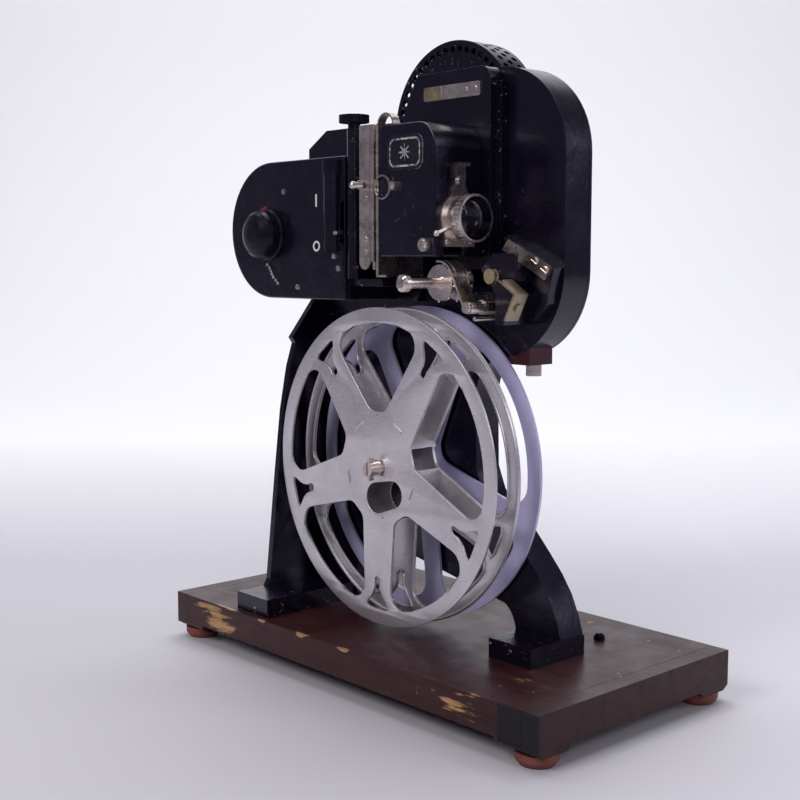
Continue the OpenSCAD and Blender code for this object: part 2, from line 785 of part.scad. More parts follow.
// Barrel shutter with two windows, its shaft and the cam for the claw.
module shutter() {
  color("#2c2c30") difference() {
    ycyl([shutter_x, -40, beam_z], 10, 14);
    ycyl([shutter_x, -41, beam_z], 8.8, 13.5);
    span([shutter_x - 11, -37.5, beam_z - 6], [shutter_x + 11, -28.6, beam_z + 6]);
  }
  color("#8c8c90") {
    ycyl([shutter_x, -44.6, beam_z], 2.5, 57.8);
    translate([shutter_x, -39.7, beam_z]) for (a = [90, 270]) rotate([0, a, 0])
      span([2, 0, -1.2], [9.2, 2, 1.2]);
    ycyl([shutter_x + 1.2, -25.4, beam_z], 4.2, 1.8);
  }
}

train_turn = atan2(sprocket_z - beam_z, sprocket_x - shutter_x);
train_gap = sqrt(pow(sprocket_x - shutter_x, 2) + pow(sprocket_z - beam_z, 2));
train_pinion = 10;
train_wheel = 80;
train_module = 2 * train_gap / (train_pinion + train_wheel);

// Large wheel turned by the motor, in one piece with the sprocket train's pinion.
module shutter_gear() {
  color("#a8843c") translate([shutter_x, 0, beam_z]) difference() {
    union() {
      plate(wheel_y, wheel_y + 4) rotate(motor_turn + 180 / wheel_teeth) gear_2d(wheel_teeth, 1, 1);
      plate(0.5, 4) rotate(train_turn) gear_2d(train_pinion, train_module, 1);
      ycyl([0, 3.4, 0], 3.3, wheel_y - 2.8);
    }
    for (a = [0:60:300]) rotate([0, a, 0]) ycyl([31, wheel_y - 1, 0], 11, 6);
    ycyl([0, 0, 0], 2.45, wheel_y + 5);
  }
}

// ---------- claw ----------

cam_room = [6, 9.6];
claw_y = [-25.4, -23.6];
guide_x = 38;

// Film claw: its yoke rides round the cam and its tooth reaches through the gate.
module claw() {
  color("#9a9a9e") {
    difference() {
      plate(claw_y[0], claw_y[1]) difference() {
        union() {
          soft_rect([shutter_x - 9, beam_z - 12], [shutter_x + 9, beam_z + 12], 2);
          translate([shutter_x + 8, beam_z - 5]) square([guide_x - shutter_x - 8, 10]);
        }
        soft_rect([shutter_x - cam_room[0], beam_z - cam_room[1]],
          [shutter_x + cam_room[0], beam_z + cam_room[1]], 1);
      }
      zcyl([guide_x, -24.5, beam_z - 10], 1.8, 20);
    }
    span([6, claw_y[0], beam_z - 1], [shutter_x - 8, claw_y[1], beam_z + 1]);
    difference() {
      zcyl([guide_x, -24.5, beam_z - 6], 3, 12);
      zcyl([guide_x, -24.5, beam_z - 7], 1.4 + fit, 14);
    }
  }
}

// ---------- sprocket and film guides ----------

module sprocket() {
  color("#b9b2a4") difference() {
    union() {
      ycyl([sprocket_x, film_y - 8, sprocket_z], sprocket_r, 3.2);
      ycyl([sprocket_x, film_y + 4.8, sprocket_z], sprocket_r, 3.2);
      ycyl([sprocket_x, film_y - 5, sprocket_z], sprocket_r - 1.2, 10);
      for (a = [0:45:315], y = [film_y - 6.6, film_y + 6.6])
        translate([sprocket_x, y, sprocket_z]) rotate([0, a + 10, 0])
          zcyl([0, 0, sprocket_r - 0.5], 0.8, 1.4, 0.45);
    }
    ycyl([sprocket_x, film_y - 9, sprocket_z], 2.6, 18);
  }
}

shaft_front = -67;

// Sprocket shaft, with a slotted nut in front to turn the film by hand.
module sprocket_shaft() {
  color("#c4bdae") {
    ycyl([sprocket_x, shaft_front + 4, sprocket_z], 2.65, 41);
    ycyl([sprocket_x, -22.5, sprocket_z], shaft_r, 27);
    difference() {
      union() {
        ycyl([sprocket_x, shaft_front, sprocket_z], 2.6, 1.2, 4.4);
        ycyl([sprocket_x, shaft_front + 1.2, sprocket_z], 4.4, 3.2);
        ycyl([sprocket_x, shaft_front + 4.4, sprocket_z], 4.4, 1.2, 3);
      }
      translate([sprocket_x, shaft_front, sprocket_z]) rotate([0, -38, 0]) cube([12, 3.2, 1.2], center = true);
    }
    ycyl([sprocket_x, film_y - 9.2, sprocket_z], 3.5, 1.2);
  }
}

// Wheel driven by the shutter's pinion, with the small belt pulley behind it.
module sprocket_gear() {
  color("#a8843c") translate([sprocket_x, 0, sprocket_z]) difference() {
    union() {
      plate(0.5, 4) rotate(train_turn + 180 + 180 / train_wheel) gear_2d(train_wheel, train_module, 1);
      ycyl([0, 0.5, 0], small_pulley_r - belt_d / 2 - 0.3, pulley_y + pulley_w);
      ycyl([0, pulley_y + pulley_w, 0], small_pulley_r + 1.4, 0.6);
    }
    for (a = [0:60:300]) rotate([0, a, 0]) ycyl([21, -1, 0], 7, 6);
    ycyl([0, -1, 0], shaft_r - fit, 10);
  }
}

shoe_in = sprocket_r + 1.2;
shoe_t = 1;
shoe_y = [-40.5, -28.5];
hinge_y = -31;
shoe_foot = [66.6, 212.5];

// Sector of a tube round the sprocket, from radius r0 to r1 and angle a0 to a1.
module shoe_band(y0, y1, a0, a1, r0 = shoe_in, r1 = shoe_in + shoe_t) {
  plate(y0, y1) polygon(concat(
    arc([sprocket_x, sprocket_z], r0, a0, a1, 16),
    arc([sprocket_x, sprocket_z], r1, a1, a0, 16)));
}

// Film shoe: a curved keeper round the sprocket, with a flat leg down to its hinge.
module film_shoe() {
  leg_top = [sprocket_x, sprocket_z] + (shoe_in + shoe_t) * [cos(16), sin(16)];
  color("#c9c2b4") {
    difference() {
      union() {
        shoe_band(shoe_y[0], shoe_y[1], 14, 98);
        plate(shoe_y[0], hinge_y) polygon([leg_top, shoe_foot, shoe_foot - [1, 0.4], leg_top - [1, 0.3]]);
      }
      shoe_band(shoe_y[0] + 2.2, shoe_y[0] + 3.4, 22, 82, shoe_in - 1, shoe_in + 3);
      shoe_band(shoe_y[1] - 2.8, shoe_y[1] - 1.8, 22, 82, shoe_in - 1, shoe_in + 3);
    }
    difference() {
      ycyl([shoe_x, shoe_y[0] + 0.1, shoe_z], 3.2, hinge_y - shoe_y[0] - 0.1);
      ycyl([shoe_x, -46, shoe_z], 2 + fit, 22);
    }
  }
}

// Post that the shoe hinges on, and the peg that stops it.
module shoe_pin() {
  color("#c4bdae") {
    ycyl([shoe_x, -41, shoe_z], 2, 17);
    ycyl([shoe_x, hinge_y + 0.6, shoe_z], 3.9, 9.7);
    ycyl([shoe_x, hinge_y + 10.2, shoe_z], 3, front_y - hinge_y - 10.2);
    difference() {
      ycyl([shoe_x, -41.9, shoe_z], 2.8, 1.2);
      span([shoe_x - 4, -42.4, shoe_z - 0.4], [shoe_x + 4, -41.4, shoe_z + 0.4]);
    }
    ycyl([67, -33.1, 206], 1.2, 33.1 + front_y);
  }
}

block_top = [77.8, 225.2];
block_nose = [88.3, 218.8];
block_toe = [81.6, 205.5];
roller_at = [73.8, 227.9];

function strip_screw_points() = [[88.8, 235.7], [95.5, 231.1]];

// Casting bolted to the case: a thin front plate, a solid block and a back plate for the strip.
module guide_bracket() {
  color("#14141b") difference() {
    union() {
      plate(-26, -24) polygon([[64.5, 231], [72.6, 239.5], [88.5, 239.5], [88.5, 227], [77.6, 227],
        [77.5, 212], [76, 212], [75, 219]]);
      plate(-26, front_y) polygon([[75, 203], [75, 224.4], block_top, block_nose, block_toe, [80.5, 203]]);
      plate(-11, front_y) polygon([[64, 240], [69, 249.5], [101, 232], [97, 214], [88, 205], [76, 205],
        [70, 228]]);
    }
    ycyl([roller_at.x, -27, roller_at.y], 1.5, 4);
    for (p = strip_screw_points()) ycyl([p.x, -14, p.y], 1.1, 9);
  }
}

module guide_strip() {
  color("#bdb6a8") {
    difference() {
      plate(-12.2, -11) polygon([[66.1, 241.6], [70.7, 247], [99.9, 232.5], [96, 225.9]]);
      for (p = strip_screw_points()) ycyl([p.x, -14, p.y], 1.15, 9);
    }
    for (p = strip_screw_points()) yscrew([p.x, -12.2, p.y], 2, 1, 6);
  }
}

// Bent cover over the block's top and right side, held by one screw.
module guide_block() {
  lean = atan2(block_nose.x - block_toe.x, block_nose.y - block_toe.y);
  color("#b5ada0") plate(-27, -17)
    polygon([block_top, block_nose, block_toe, block_toe + [1.1, -0.4], block_nose + [1.3, 0.2],
      block_top + [0.3, 1.1]]);
  color("#b59d6c") translate([(block_nose.x + block_toe.x) / 2 + 0.9, -21.5, (block_nose.y + block_toe.y) / 2])
    rotate([0, lean, 0]) xcyl([0, 0, 0], 2.2, 1.5);
}

module guide_roller() {
  color("#a8a07c") {
    ycyl([roller_at.x, -29.6, roller_at.y], 3.9, 1, 3.5);
    ycyl([roller_at.x, -28.61, roller_at.y], 3.5, 1.22);
    ycyl([roller_at.x, -27.4, roller_at.y], 3.5, 1, 3.9);
    ycyl([roller_at.x, -27, roller_at.y], 1.5 - fit, 5);
  }
}

bar_screw_at = [73, 6];
bar_bottom = 181;

// Lower bar under the case, and the thumbscrew that clamps it.
module case_bar() {
  color("#4a1f1f") difference() {
    span([62, front_y, bar_bottom], [79, back_y, case_bottom + 8]);
    plate(front_y - 1, back_y + 1) case_outline();
    zcyl([bar_screw_at.x, bar_screw_at.y, bar_bottom - 1], 2 + fit, 4.4);
  }
}

module bar_screw() {
  color("#c9c4b8") translate([bar_screw_at.x, bar_screw_at.y, 0]) difference() {
    union() {
      zcyl([0, 0, bar_bottom - 2], 2, 4.6);
      zcyl([0, 0, bar_bottom - 6.2], 4.2, 5.8);
    }
    for (a = [0:20:340]) rotate(a) zcyl([4.5, 0, bar_bottom - 7], 0.5, 8);
  }
}

module head_thumbscrew() {
  color("#c9c4b8") translate([thumb_at.x, 0, thumb_at.y]) difference() {
    union() {
      ycyl([0, head_front - 0.3 - 3, 0], 3.5, 3);
      ycyl([0, head_front - 4.4, 0], 2.4, 1.2, 3);
      ycyl([0, head_front - 1, 0], 1.5, 5.5);
    }
    for (a = [0:24:336]) rotate([0, a, 0]) ycyl([3.8, head_front - 5, 0], 0.5, 6);
  }
}

// ---------- reels ----------

spindle_r = 5;
nose_r = 3.9;
spindle_front = -50;

// Take-up spindle: round in its bearing, square where the reel sits, with a cross latch.
module spindle() {
  color("#c4c0b8") {
    ycyl([reel_x, disc_y + disc_t, spindle_z], spindle_r, 8.2 - disc_y - disc_t);
    difference() {
      ycyl([reel_x, spindle_front, spindle_z], nose_r, disc_y + disc_t + 0.5 - spindle_front);
      span([reel_x - 1, spindle_front - 1, spindle_z - 5], [reel_x + 1, spindle_front + 5, spindle_z + 5]);
    }
    span([reel_x - 0.9, spindle_front + 0.8, spindle_z - 6.3], [reel_x + 0.9, spindle_front + 4.2, spindle_z + 6.3]);
  }
}

// Belt pulley on the spindle's back end.
module drive_pulley() {
  color("#a8843c") translate([reel_x, 0, spindle_z]) difference() {
    union() {
      ycyl([0, 3.4, 0], big_pulley_r + 1.4, pulley_y - 3.4);
      ycyl([0, 3.4, 0], big_pulley_r - belt_d / 2 - 0.3, pulley_w + 1.5);
      ycyl([0, pulley_y + pulley_w, 0], big_pulley_r + 1.4, 0.7);
    }
    ycyl([0, 3, 0], spindle_r - fit, 8);
  }
}

belt_gap = sqrt(pow(sprocket_x - reel_x, 2) + pow(sprocket_z - spindle_z, 2));
belt_tilt = atan2(sprocket_z - spindle_z, sprocket_x - reel_x);
belt_wrap = acos((big_pulley_r - small_pulley_r) / belt_gap);

module belt_loop(grow) {
  polygon(concat(
    arc([0, 0], big_pulley_r + grow, belt_wrap, 360 - belt_wrap, 36),
    arc([belt_gap, 0], small_pulley_r + grow, -belt_wrap, belt_wrap, 18)));
}

// Driving belt from the sprocket's pulley down to the spindle's.
module drive_belt() {
  middle = pulley_y + pulley_w / 2;
  color("#3a2c22") translate([reel_x, 0, spindle_z])
    plate(middle - belt_d / 2, middle + belt_d / 2) rotate(belt_tilt) difference() {
      belt_loop(belt_d / 2);
      belt_loop(-belt_d / 2);
    }
}

flange_t = 1;
arm_angles = [57.8, 127.2, 197.2, 268.2, 336];
rim_in = 80.5;

// Window between two arms of a reel flange.
module arm_window(a0, a1, tip) {
  mid = (a0 + a1) / 2;
  offset(r = 5, $fn = 24) offset(delta = -5) polygon(concat(
    arc([0, 0], rim_in, a0 + 8.5, a1 - 8.5, 14),
    [tip * [cos(mid + 9), sin(mid + 9)], tip * [cos(mid - 9), sin(mid - 9)]]));
}

// Small flared window in the fork at the outer end of an arm.
module fork_window(a) {
  offset(r = 1.6, $fn = 20) offset(delta = -1.6) polygon(concat(
    arc([0, 0], rim_in, a - 6.4, a + 6.4, 6),
    [66 * [cos(a + 2.2), sin(a + 2.2)], 61.5 * [cos(a + 1.6), sin(a + 1.6)],
     61.5 * [cos(a - 1.6), sin(a - 1.6)], 66 * [cos(a - 2.2), sin(a - 2.2)]]));
}

module flange_2d() {
  difference() {
    circle(reel_r, $fn = 120);
    for (i = [0:4]) let (a0 = arm_angles[i], a1 = arm_angles[(i + 1) % 5] + (i == 4 ? 360 : a0 > 300 ? 360 : 0))
      arm_window(a0, a1, i == 4 ? 29 : 33.5);
    for (a = arm_angles) fork_window(a);
    finger_hole_2d();
    square(2 * nose_r + 0.3, center = true);
    for (a = arm_angles) rotate(a) translate([26.9, -3.6]) square([1.6, 7.2]);
  }
}

// Oblong hole beside the spindle, through flanges and hub.
module finger_hole_2d() {
  hull() {
    translate([-2.5, -17.3]) circle(8.7);
    translate([10.8, -13.7]) circle(7.5);
  }
}

module reel_flanges() {
  color("#b9bcc2") translate([reel_x, 0, spindle_z])
    for (y = [reel_front, reel_back - flange_t]) plate(y, y + flange_t) flange_2d();
}
hub_r = 30;

// Reel core with a slot to hold the film's end.
module reel_hub() {
  color("#aeb1b8") translate([reel_x, 0, spindle_z]) {
    plate(reel_front + flange_t, reel_back - flange_t) difference() {
      circle(hub_r);
      circle(hub_r - 2);
      rotate(15) translate([hub_r - 4, -6]) square([8, 12]);
    }
    plate(reel_front + flange_t, reel_back - flange_t) difference() {
      circle(7.4);
      circle(nose_r + fit);
    }
    for (a = arm_angles) rotate([0, -a, 0])
      span([27, reel_front - 0.6, -3.5], [28.4, reel_front + flange_t + 1, 3.5]);
  }
}

spoke_angles = [67, 119, 196, 277, 343];
spoke_w = 13;
core_r = 13.5;

// Window between two spokes: a wedge with parallel-sided spokes beside it and round corners.
module disc_window(a0, a1) {
  mid = (a0 + a1) / 2;
  tip = spoke_w / 2 / sin((a1 - a0) / 2) * [cos(mid), sin(mid)];
  offset(r = 10, $fn = 40) offset(delta = -10) intersection() {
    circle(reel_r - 9, $fn = 120);
    polygon([tip, tip + 120 * [cos(a0), sin(a0)], tip + 120 * [cos(a1), sin(a1)]]);
  }
}

// Rear disc: holds the film that winds up behind the front reel.
module rear_disc() {
  color("#8f93b4") translate([reel_x, 0, spindle_z]) plate(disc_y, disc_y + disc_t) difference() {
    circle(reel_r, $fn = 120);
    for (i = [0:4]) disc_window(spoke_angles[i], spoke_angles[(i + 1) % 5] + (i == 4 ? 360 : 0));
    circle(nose_r + fit);
  }
}

module rear_core() {
  color("#8a8fb0") translate([reel_x, 0, spindle_z]) plate(reel_back + 0.01, disc_y) difference() {
    circle(core_r);
    circle(nose_r + fit);
    for (a = [0:60:300]) rotate(a) translate([8.7, 0]) circle(2.4);
  }
}

base_board();
end_battens();
batten_screws();
rubber_feet();
foot_screws();
board_plug();
stand();
stand_bolts();
gear_case();
case_cover();
case_screws();
front_housing();
head_housing();
lamp_house();
lamp_house_cover();
cover_screws();
lamp_bulb();
lamp_socket();
reflector();
condenser();
lamp_knob();
switch_column();
switch_grip();
index_marks();
gate_plate();
gate_door();
gate_screws();
framing_post();
framing_knob();
badge_plate();
lens_bracket();
lens_barrel();
lens_glass();
lens_screws();
latch_spring();
drum_housing();
motor_body();
motor_rotor();
shutter();
shutter_gear();
claw();
sprocket();
sprocket_shaft();
sprocket_gear();
film_shoe();
shoe_pin();
guide_bracket();
guide_strip();
guide_block();
guide_roller();
case_bar();
bar_screw();
spindle();
drive_pulley();
drive_belt();
reel_flanges();
reel_hub();
rear_disc();
rear_core();
head_thumbscrew();
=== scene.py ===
"""Small home cine film projector on a wooden board: looks, light and camera."""
import json
import math
import bmesh
import bpy
from mathutils import Matrix, Vector


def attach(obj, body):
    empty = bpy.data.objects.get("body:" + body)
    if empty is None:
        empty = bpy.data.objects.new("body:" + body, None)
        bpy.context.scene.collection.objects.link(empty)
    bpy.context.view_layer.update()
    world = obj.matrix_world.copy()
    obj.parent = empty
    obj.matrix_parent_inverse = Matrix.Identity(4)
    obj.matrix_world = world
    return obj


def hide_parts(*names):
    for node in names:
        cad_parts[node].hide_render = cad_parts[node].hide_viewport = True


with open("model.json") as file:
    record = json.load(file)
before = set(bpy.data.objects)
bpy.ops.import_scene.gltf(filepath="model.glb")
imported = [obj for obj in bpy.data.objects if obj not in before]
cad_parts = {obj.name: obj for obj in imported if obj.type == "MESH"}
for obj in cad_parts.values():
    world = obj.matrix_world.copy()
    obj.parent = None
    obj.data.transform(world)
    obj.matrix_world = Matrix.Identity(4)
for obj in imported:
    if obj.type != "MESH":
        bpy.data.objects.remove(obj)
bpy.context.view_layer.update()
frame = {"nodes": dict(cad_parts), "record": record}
NODES = frame["nodes"]
MM = 0.001

# Points nearer to each other than this, in metres, are one point.
SAME_POINT = 1e-6

# The reel's axis and rim, in millimetres.
REEL_X, REEL_Z = 1.5, 121.5
REEL_R = 89.0


# ---------- camera, light and floor ----------

# The camera's bearing and tilt in degrees, its place in metres and its lens in millimetres.
VIEW_BEARING = 47.91
VIEW_TILT = 6.22
VIEW_PLACE = (0.5314, -0.5042, 0.2361)
VIEW_LENS = 57.73


def add_camera():
    data = bpy.data.cameras.new("view")
    data.lens = VIEW_LENS
    data.sensor_width = 36
    data.clip_end = 50
    camera = bpy.data.objects.new("view", data)
    camera.location = VIEW_PLACE
    camera.rotation_euler = (math.radians(90 - VIEW_TILT), 0, math.radians(VIEW_BEARING))
    bpy.context.collection.objects.link(camera)
    bpy.context.scene.camera = camera


def add_area(name, place, target, size, power, colour):
    data = bpy.data.lights.new(name, "AREA")
    data.shape = "RECTANGLE"
    data.size = size[0]
    data.size_y = size[1]
    data.energy = power
    data.color = colour
    lamp = bpy.data.objects.new(name, data)
    lamp.location = place
    lamp.rotation_euler = (Vector(target) - Vector(place)).to_track_quat("-Z", "Y").to_euler()
    bpy.context.collection.objects.link(lamp)


def add_lights():
    """A dim lavender room, a bright wall behind the projector and soft boxes round it."""
    scene = bpy.context.scene
    world = bpy.data.worlds.new("room")
    world.use_nodes = True
    world.node_tree.nodes["Background"].inputs["Color"].default_value = (0.80, 0.78, 1, 1)
    world.node_tree.nodes["Background"].inputs["Strength"].default_value = 0.17
    scene.world = world
    scene.view_settings.view_transform = "Standard"
    away = Vector((-math.sin(math.radians(VIEW_BEARING)), math.cos(math.radians(VIEW_BEARING)), 0))
    across = Vector((away.y, -away.x, 0))
    up = Vector((0, 0, 1))
    add_area("wall", away * 0.9 + up * 2.6, away * 2.2 + up * 0.5, (3.2, 0.9), 43, (0.97, 0.98, 1))
    add_area("top", away * 0.35 + up * 1.9, up * 0.1, (1.5, 1.2), 11, (0.95, 0.94, 1))
    add_area("key", away * -0.9 - across * 1.2 + up * 1.25, up * 0.15, (0.7, 0.7), 13, (1, 0.96, 0.98))
    add_area("side", away * -0.3 + across * 1.7 + up * 0.9, up * 0.18, (0.35, 0.9), 4, (0.88, 0.86, 1))
    add_area("front", away * -1.5 + across * 0.3 + up * 0.9, up * 0.12, (0.9, 0.5), 4, (1, 0.95, 0.98))


def add_floor():
    """Floor that bends up into a wall behind the projector, in metres."""
    mesh = bpy.data.meshes.new("floor")
    near, deep, wide, high, bend, steps = -6.0, 2.2, 6.0, 4.0, 0.8, 12
    profile = [(near, 0.0)]
    for i in range(steps + 1):
        a = math.radians(90 * i / steps)
        profile.append((deep - bend + bend * math.sin(a), bend - bend * math.cos(a)))
    profile.append((deep, high))
    rows = [[(s * wide, y, z) for y, z in profile] for s in (-1, 1)]
    count = len(profile)
    faces = [(i, i + count, i + count + 1, i + 1) for i in range(count - 1)]
    mesh.from_pydata(rows[0] + rows[1], [], faces)
    for face in mesh.polygons:
        face.use_smooth = True
    floor = bpy.data.objects.new("floor", mesh)
    floor.rotation_euler = (0, 0, math.radians(VIEW_BEARING))
    bpy.context.collection.objects.link(floor)
    mesh.materials.append(floor_material())


# ---------- material building blocks ----------

class Nodes:
    """A material being built, with short calls for the nodes that it uses."""

    def __init__(self, name):
        self.material = bpy.data.materials.new(name)
        self.material.use_nodes = True
        self.tree = self.material.node_tree
        self.shader = self.tree.nodes["Principled BSDF"]
        self.place = self.tree.nodes.new("ShaderNodeTexCoord").outputs["Object"]

    def add(self, kind, **settings):
        node = self.tree.nodes.new(kind)
        for key, value in settings.items():
            setattr(node, key, value)
        return node

    def link(self, output, target):
        self.tree.links.new(output, target)

    def set(self, **values):
        for key, value in values.items():
            self.shader.inputs[key.replace("_", " ")].default_value = value

    def stretch(self, scale, turn=(0, 0, 0)):
        node = self.add("ShaderNodeMapping")
        node.inputs["Scale"].default_value = scale
        node.inputs["Rotation"].default_value = turn
        self.link(self.place, node.inputs["Vector"])
        return node.outputs["Vector"]

    def noise(self, scale, detail=4, rough=0.55, source=None):
        node = self.add("ShaderNodeTexNoise")
        node.inputs["Scale"].default_value = scale
        node.inputs["Detail"].default_value = detail
        node.inputs["Roughness"].default_value = rough
        self.link(source or self.place, node.inputs["Vector"])
        return node.outputs["Fac"]

    def ramp(self, value, *stops):
        """Colour ramp from (position, colour or grey) stops."""
        node = self.add("ShaderNodeValToRGB")
        ramp = node.color_ramp
        while len(ramp.elements) < len(stops):
            ramp.elements.new(0.5)
        for element, (at, colour) in zip(ramp.elements, stops):
            element.position = at
            grey = isinstance(colour, (int, float))
            element.color = (colour, colour, colour, 1) if grey else (*colour, 1)
        self.link(value, node.inputs["Fac"])
        return node.outputs["Color"]

    def math(self, operation, a, b=0.0):
        node = self.add("ShaderNodeMath", operation=operation)
        for socket, value in zip(node.inputs, (a, b)):
            if isinstance(value, (int, float)):
                socket.default_value = value
            else:
                self.link(value, socket)
        return node.outputs["Value"]

    def mix(self, factor, a, b):
        node = self.add("ShaderNodeMix", data_type="RGBA")
        colour_a, colour_b = node.inputs[6], node.inputs[7]
        for socket, value in ((node.inputs["Factor"], factor), (colour_a, a), (colour_b, b)):
            if isinstance(value, tuple):
                socket.default_value = (*value, 1)
            elif isinstance(value, (int, float)):
                socket.default_value = value
            else:
                self.link(value, socket)
        return node.outputs[2]

    def edges(self, low, high):
        """About 1 along outer edges of the mesh and 0 elsewhere."""
        geometry = self.add("ShaderNodeNewGeometry")
        return self.ramp(geometry.outputs["Pointiness"], (low, 0.0), (high, 1.0))

    def colour(self, value):
        self.link(value, self.shader.inputs["Base Color"])

    def roughness(self, value):
        self.link(value, self.shader.inputs["Roughness"])

    def bump(self, height, strength, distance=0.0003):
        node = self.add("ShaderNodeBump")
        node.inputs["Strength"].default_value = strength
        node.inputs["Distance"].default_value = distance
        self.link(height, node.inputs["Height"])
        self.link(node.outputs["Normal"], self.shader.inputs["Normal"])


# ---------- materials ----------

def floor_material():
    """Pale board under the projector, a little greyer than the wall behind it, with painted shade that
    darkens it towards negative X.
    """
    m = Nodes("floor")
    split = m.add("ShaderNodeSeparateXYZ")
    m.link(m.place, split.inputs["Vector"])
    # Painted shade: paler grey on the positive X side, darker grey from X = 0 towards negative X.
    shade = m.ramp(split.outputs["X"], (0.0, (0.54, 0.53, 0.56)), (0.25, (0.70, 0.69, 0.72)))
    scuffs = m.ramp(m.noise(7, 8, 0.7, m.stretch((3, 1, 1))), (0.3, 0.94), (0.7, 1.0))
    scuffed = m.mix(scuffs, (0.60, 0.59, 0.62), shade)
    wall = m.ramp(split.outputs["Y"], (0.25, 0.0), (0.95, 1.0))
    m.colour(m.mix(wall, scuffed, (0.92, 0.92, 0.93)))
    m.set(Roughness=0.65)
    return m.material


def enamel(name, dark, light, grain, bump, rough):
    """Paint over a fine cast surface, chipped through to grey metal here and there along its edges."""
    m = Nodes(name)
    base = m.ramp(m.noise(38, 5), (0.35, dark), (0.72, light))
    dust = m.math("MULTIPLY", m.ramp(m.noise(1100, 3), (0.70, 0.0), (0.76, 1.0)),
                  m.ramp(m.noise(24, 4), (0.52, 0.0), (0.64, 0.35)))
    base = m.mix(dust, base, (0.20, 0.20, 0.24))
    worn = m.math("MULTIPLY", m.edges(0.56, 0.64), m.ramp(m.noise(240, 6, 0.7), (0.62, 0.0), (0.67, 1.0)))
    m.colour(m.mix(worn, base, (0.30, 0.26, 0.24)))
    m.roughness(m.ramp(m.noise(70, 6), (0.3, rough[0]), (0.7, rough[1])))
    waves = m.math("ADD", m.noise(grain, 3), m.math("MULTIPLY", m.noise(90, 2), 2.0))
    m.bump(waves, bump, 0.0002)
    # The lavender specular tint is painted sheen: it tints the paint's reflections violet.
    m.set(IOR=1.45, Coat_Weight=0.15, Coat_Roughness=0.08, Specular_Tint=(0.86, 0.82, 1, 1))
    return m.material


# Where the front edge of the board is rubbed bare: (middle along X, reach along X, middle height,
# reach up and down), in metres.
BARE_PATCHES = [(-0.108, 0.030, 0.021, 0.017), (0.106, 0.030, 0.021, 0.015), (-0.025, 0.008, 0.028, 0.003),
                (0.012, 0.007, 0.028, 0.003), (-0.062, 0.006, 0.028, 0.003)]

# The board is darker past this X, in metres.
DARK_CORNER = 0.1265


def wood(name, dark, light, turn=0.0):
    """Stained and varnished board, rubbed bare in places along its front edge, with a dark front corner."""
    m = Nodes(name)
    split = m.add("ShaderNodeSeparateXYZ")
    m.link(m.place, split.inputs["Vector"])
    x, y, z = (split.outputs[k] for k in "XYZ")
    along = m.stretch((9, 95, 95), (0, 0, turn))
    figure = m.noise(1.6, 8, 0.62, along)
    pores = m.noise(9, 3, 0.5, m.stretch((16, 300, 300), (0, 0, turn)))
    stain = m.ramp(figure, (0.30, dark), (0.55, light), (0.74, dark))
    stain = m.mix(m.ramp(pores, (0.36, 0.45), (0.50, 0.0)), stain, tuple(c * 0.4 for c in dark))
    patch = 0.0
    for middle, reach, height, rise in BARE_PATCHES:
        across = m.math("POWER", m.math("DIVIDE", m.math("SUBTRACT", x, middle), reach), 2.0)
        upward = m.math("POWER", m.math("DIVIDE", m.math("SUBTRACT", z, height), rise), 2.0)
        patch = m.math("MAXIMUM", patch, m.math("SUBTRACT", 1.0, m.math("ADD", across, upward)))
    streaks = m.noise(3.2, 6, 0.62, m.stretch((11, 60, 75)))
    worn = m.ramp(m.math("ADD", m.math("MULTIPLY", patch, 0.34), streaks), (0.77, 0.0), (0.83, 1.0))
    front = m.ramp(m.math("MULTIPLY", y, -10.0), (0.742, 0.0), (0.752, 1.0))
    rubbed = m.ramp(m.noise(60, 8, 0.74), (0.64, 0.0), (0.68, 0.8))
    chipped = m.math("MAXIMUM", m.math("MULTIPLY", worn, front),
                     m.math("MULTIPLY", m.edges(0.51, 0.55), rubbed))
    bare = m.ramp(m.noise(5, 4, 0.6, m.stretch((12, 160, 160))), (0.3, (0.16, 0.075, 0.03)),
                  (0.55, (0.42, 0.24, 0.09)), (0.75, (0.62, 0.42, 0.20)))
    corner = m.math("MULTIPLY", front, m.math("GREATER_THAN", x, DARK_CORNER))
    stain = m.mix(corner, stain, (0.006, 0.005, 0.007))
    chipped = m.math("MULTIPLY", chipped, m.math("SUBTRACT", 1.0, corner))
    m.colour(m.mix(chipped, stain, bare))
    m.roughness(m.ramp(m.noise(60, 5), (0.3, 0.26), (0.7, 0.44)))
    m.bump(m.math("ADD", figure, m.math("MULTIPLY", pores, 0.8)), 0.25, 0.0003)
    m.set(IOR=1.33, Coat_Weight=0.04, Coat_Roughness=0.25)
    return m.material


def plated(name, bright, dull, rough, tarnish=0.5):
    """Old nickel, steel or brass: bright in places, dull and spotted elsewhere, with fine scratches."""
    m = Nodes(name)
    cloud = m.noise(120, 6, 0.6)
    metal = m.ramp(cloud, (0.30, dull), (0.62, bright))
    spots = m.ramp(m.noise(700, 4, 0.6), (0.64, 0.0), (0.72, tarnish))
    m.colour(m.mix(spots, metal, tuple(c * 0.35 for c in dull)))
    scratches = m.noise(60, 3, 0.6, m.stretch((3, 40, 12), (0.4, 0.7, 0.2)))
    m.roughness(m.ramp(m.math("ADD", m.math("MULTIPLY", cloud, 0.6), m.math("MULTIPLY", scratches, 0.4)),
                       (0.35, rough[0]), (0.65, rough[1])))
    m.bump(m.math("ADD", scratches, m.noise(1400, 2)), 0.05, 0.0001)
    m.set(Metallic=1.0)
    return m.material


